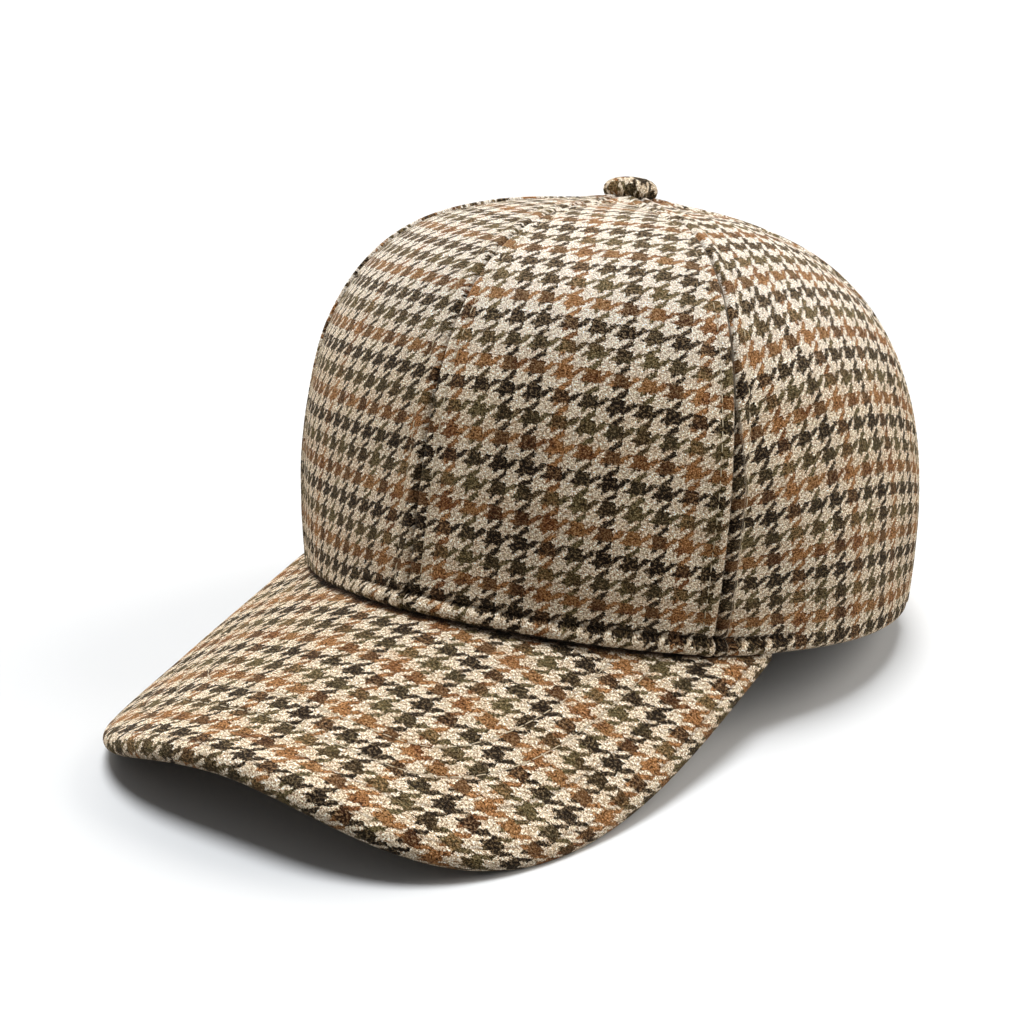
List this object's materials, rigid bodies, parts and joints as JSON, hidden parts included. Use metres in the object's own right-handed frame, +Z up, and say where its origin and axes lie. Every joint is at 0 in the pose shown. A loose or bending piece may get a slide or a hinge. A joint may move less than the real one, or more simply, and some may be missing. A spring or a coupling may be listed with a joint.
{
  "type": "baseball cap",
  "caption": "Structured cap in multi-coloured houndstooth tweed: a domed crown of sewn panels, an arched visor at the front and a covered button on top.",
  "frame": {"origin": "middle of the bounding box of the cap as it rests, at the floor it rests on", "axes": "+Z up; the visor points towards -Y and the back of the cap towards +Y; +X is the wearer's left"},
  "size_m": [0.1736, 0.265, 0.1299],
  "materials": {
    "crown_tweed": "woven wool tweed, houndstooth check in charcoal, rust and olive on cream, matt and slightly hairy",
    "visor_tweed": "the same houndstooth tweed, drawn tight over a stiff visor with a rolled edge, matt",
    "button_tweed": "brown and cream heathered wool, gathered over a button, matt"
  },
  "bodies": {
    "root": {"panel_front_left": "crown_tweed", "panel_front_right": "crown_tweed", "panel_side_left": "crown_tweed", "panel_side_right": "crown_tweed", "panel_back_left": "crown_tweed", "panel_back_right": "crown_tweed", "visor": "visor_tweed", "button": "button_tweed"}
  },
  "joints": []
}
